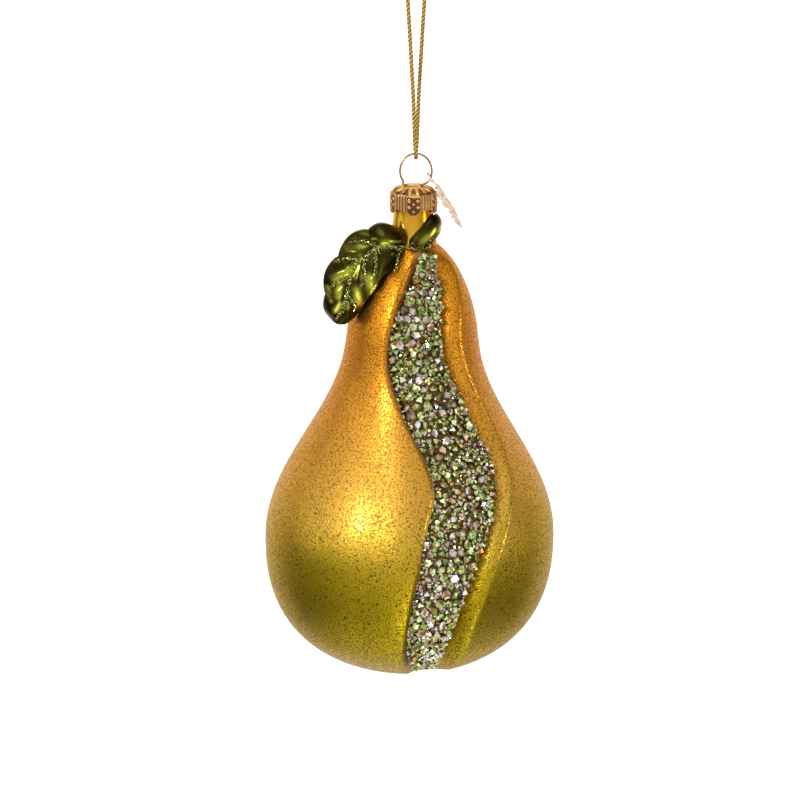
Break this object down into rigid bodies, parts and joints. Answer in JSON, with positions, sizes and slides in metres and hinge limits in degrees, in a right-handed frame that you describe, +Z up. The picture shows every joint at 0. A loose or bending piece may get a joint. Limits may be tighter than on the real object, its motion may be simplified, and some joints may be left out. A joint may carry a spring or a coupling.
{
  "type": "glass pear ornament",
  "caption": "Hanging blown-glass pear with a crystal-set S-shaped cleft, lacquered leaves, stamped crown cap, wire ring, thin charm and a gold cord loop.",
  "frame": {"origin": "hanging point, inside the top of the cord loop where a hook or twig bears", "axes": "+Z up along the hanging line, the jewelled front faces -Y, +X to the right as seen from the front"},
  "size_m": [0.0744, 0.0754, 0.2106],
  "materials": {
    "gold_cord": "twisted metallic thread",
    "brass_wire": "bright drawn wire",
    "cap_brass": "stamped antique rose gold",
    "charm_metal": "pale rose gold plate",
    "pear_glass": "silvered inside, grained gold to olive lacquer outside",
    "stem_glass": "glossy gold lacquer",
    "leaf_glass": "glossy dark olive lacquer with glitter veins",
    "bed_glue": "clear amber glue",
    "peridot": "faceted, foil backed",
    "clear_stone": "faceted, foil backed",
    "smoky_stone": "faceted, foil backed"
  },
  "bodies": {
    "cord": {"hanging_cord": "gold_cord", "cord_knot": "gold_cord"},
    "hanger": {"hanger_wire": "brass_wire", "cap": "cap_brass"},
    "charm": {"hang_tag": "charm_metal"},
    "pear": {"pear_shell": "pear_glass", "stem_neck": "stem_glass", "large_leaf": "leaf_glass", "small_leaf": "leaf_glass", "crystal_bed": "bed_glue", "green_crystals": "peridot", "clear_crystals": "clear_stone", "smoky_crystals": "smoky_stone"}
  },
  "joints": [
    {"name": "swing", "type": "hinge", "parent": "cord", "child": "hanger", "pos_m": [0, 0, -0.067], "axis": [1, 0, 0], "range_deg": [-60, 60]},
    {"name": "charm_swing", "type": "hinge", "parent": "hanger", "child": "charm", "pos_m": [0.00346, 0, -0.073], "axis": [0.5, 0, 0.866], "range_deg": [-35, 35]},
    {"name": "cap_pull", "type": "slide", "parent": "hanger", "child": "pear", "axis": [0, 0, -1], "range_m": [0, 0.016]}
  ]
}
